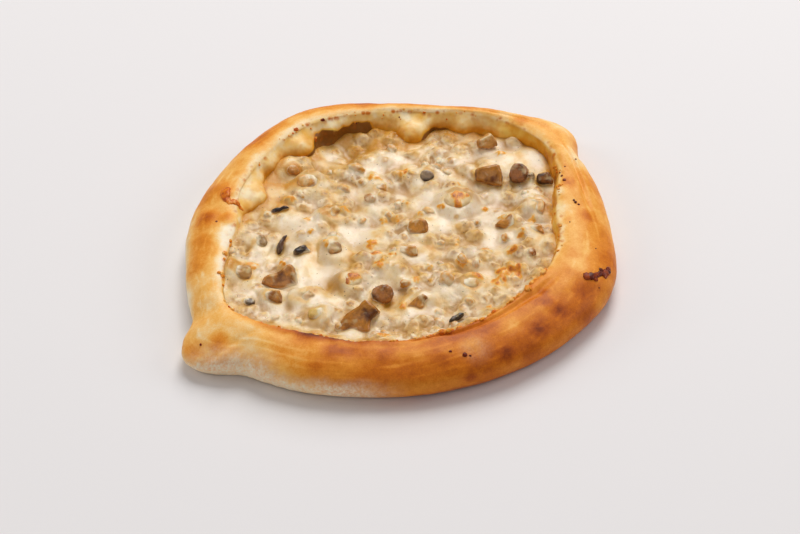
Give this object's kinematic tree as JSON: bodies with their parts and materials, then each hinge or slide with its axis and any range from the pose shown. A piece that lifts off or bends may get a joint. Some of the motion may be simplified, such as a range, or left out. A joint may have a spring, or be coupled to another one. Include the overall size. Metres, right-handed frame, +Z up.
{
  "type": "open khachapuri",
  "caption": "Open boat-shaped khachapuri: a raised golden crust with two pinched ends, filled with melted cheese, diced chicken and mushroom pieces.",
  "frame": {"origin": "under the middle of the bread's box, on the surface that it rests on", "axes": "+X along the bread towards its small corner, with the pinched knob at -X, +Z up"},
  "size_m": [0.3096, 0.259, 0.0325],
  "materials": {
    "crust": "baked golden crust, satin, browner in spots, floury at the foot of one end",
    "melted_cheese": "melted cheese, cream white with oily yellow and toasted spots, moist",
    "mushroom": "cooked mushroom, olive brown with darker skin, moist",
    "chicken": "cooked diced chicken, tan with browned edges",
    "toasted_cheese": "cheese lump, toasted golden brown on top"
  },
  "bodies": {
    "root": {"crust": "crust", "filling": "melted_cheese", "cheese_lump_heaped": "toasted_cheese", "cheese_lump_toasted": "toasted_cheese", "chicken_bit_upper": "chicken", "chicken_cube_yellow": "chicken", "chicken_piece_back": "chicken", "chicken_piece_brown": "chicken", "chicken_piece_front": "chicken", "chicken_piece_left": "chicken", "chicken_piece_upper": "chicken", "chicken_piece_wall": "chicken", "mushroom_bit_black": "mushroom", "mushroom_bit_grey": "mushroom", "mushroom_bit_middle": "mushroom", "mushroom_bit_rim": "mushroom", "mushroom_bits_right": "mushroom", "mushroom_block_heaped": "mushroom", "mushroom_cap_piece": "mushroom", "mushroom_chunk_centre": "mushroom", "mushroom_chunk_right": "mushroom", "mushroom_crescent": "mushroom", "mushroom_dark_heaped": "mushroom", "mushroom_flake_front": "mushroom", "mushroom_piece_back": "mushroom", "mushroom_piece_front": "mushroom", "mushroom_piece_left": "mushroom", "mushroom_rounded_bit": "mushroom", "mushroom_slice_large": "mushroom", "mushroom_slice_tan": "mushroom", "mushroom_slice_upright": "mushroom", "mushroom_stem_heaped": "mushroom", "mushroom_strip_black": "mushroom", "mushroom_wedge_large": "mushroom"}
  },
  "joints": []
}
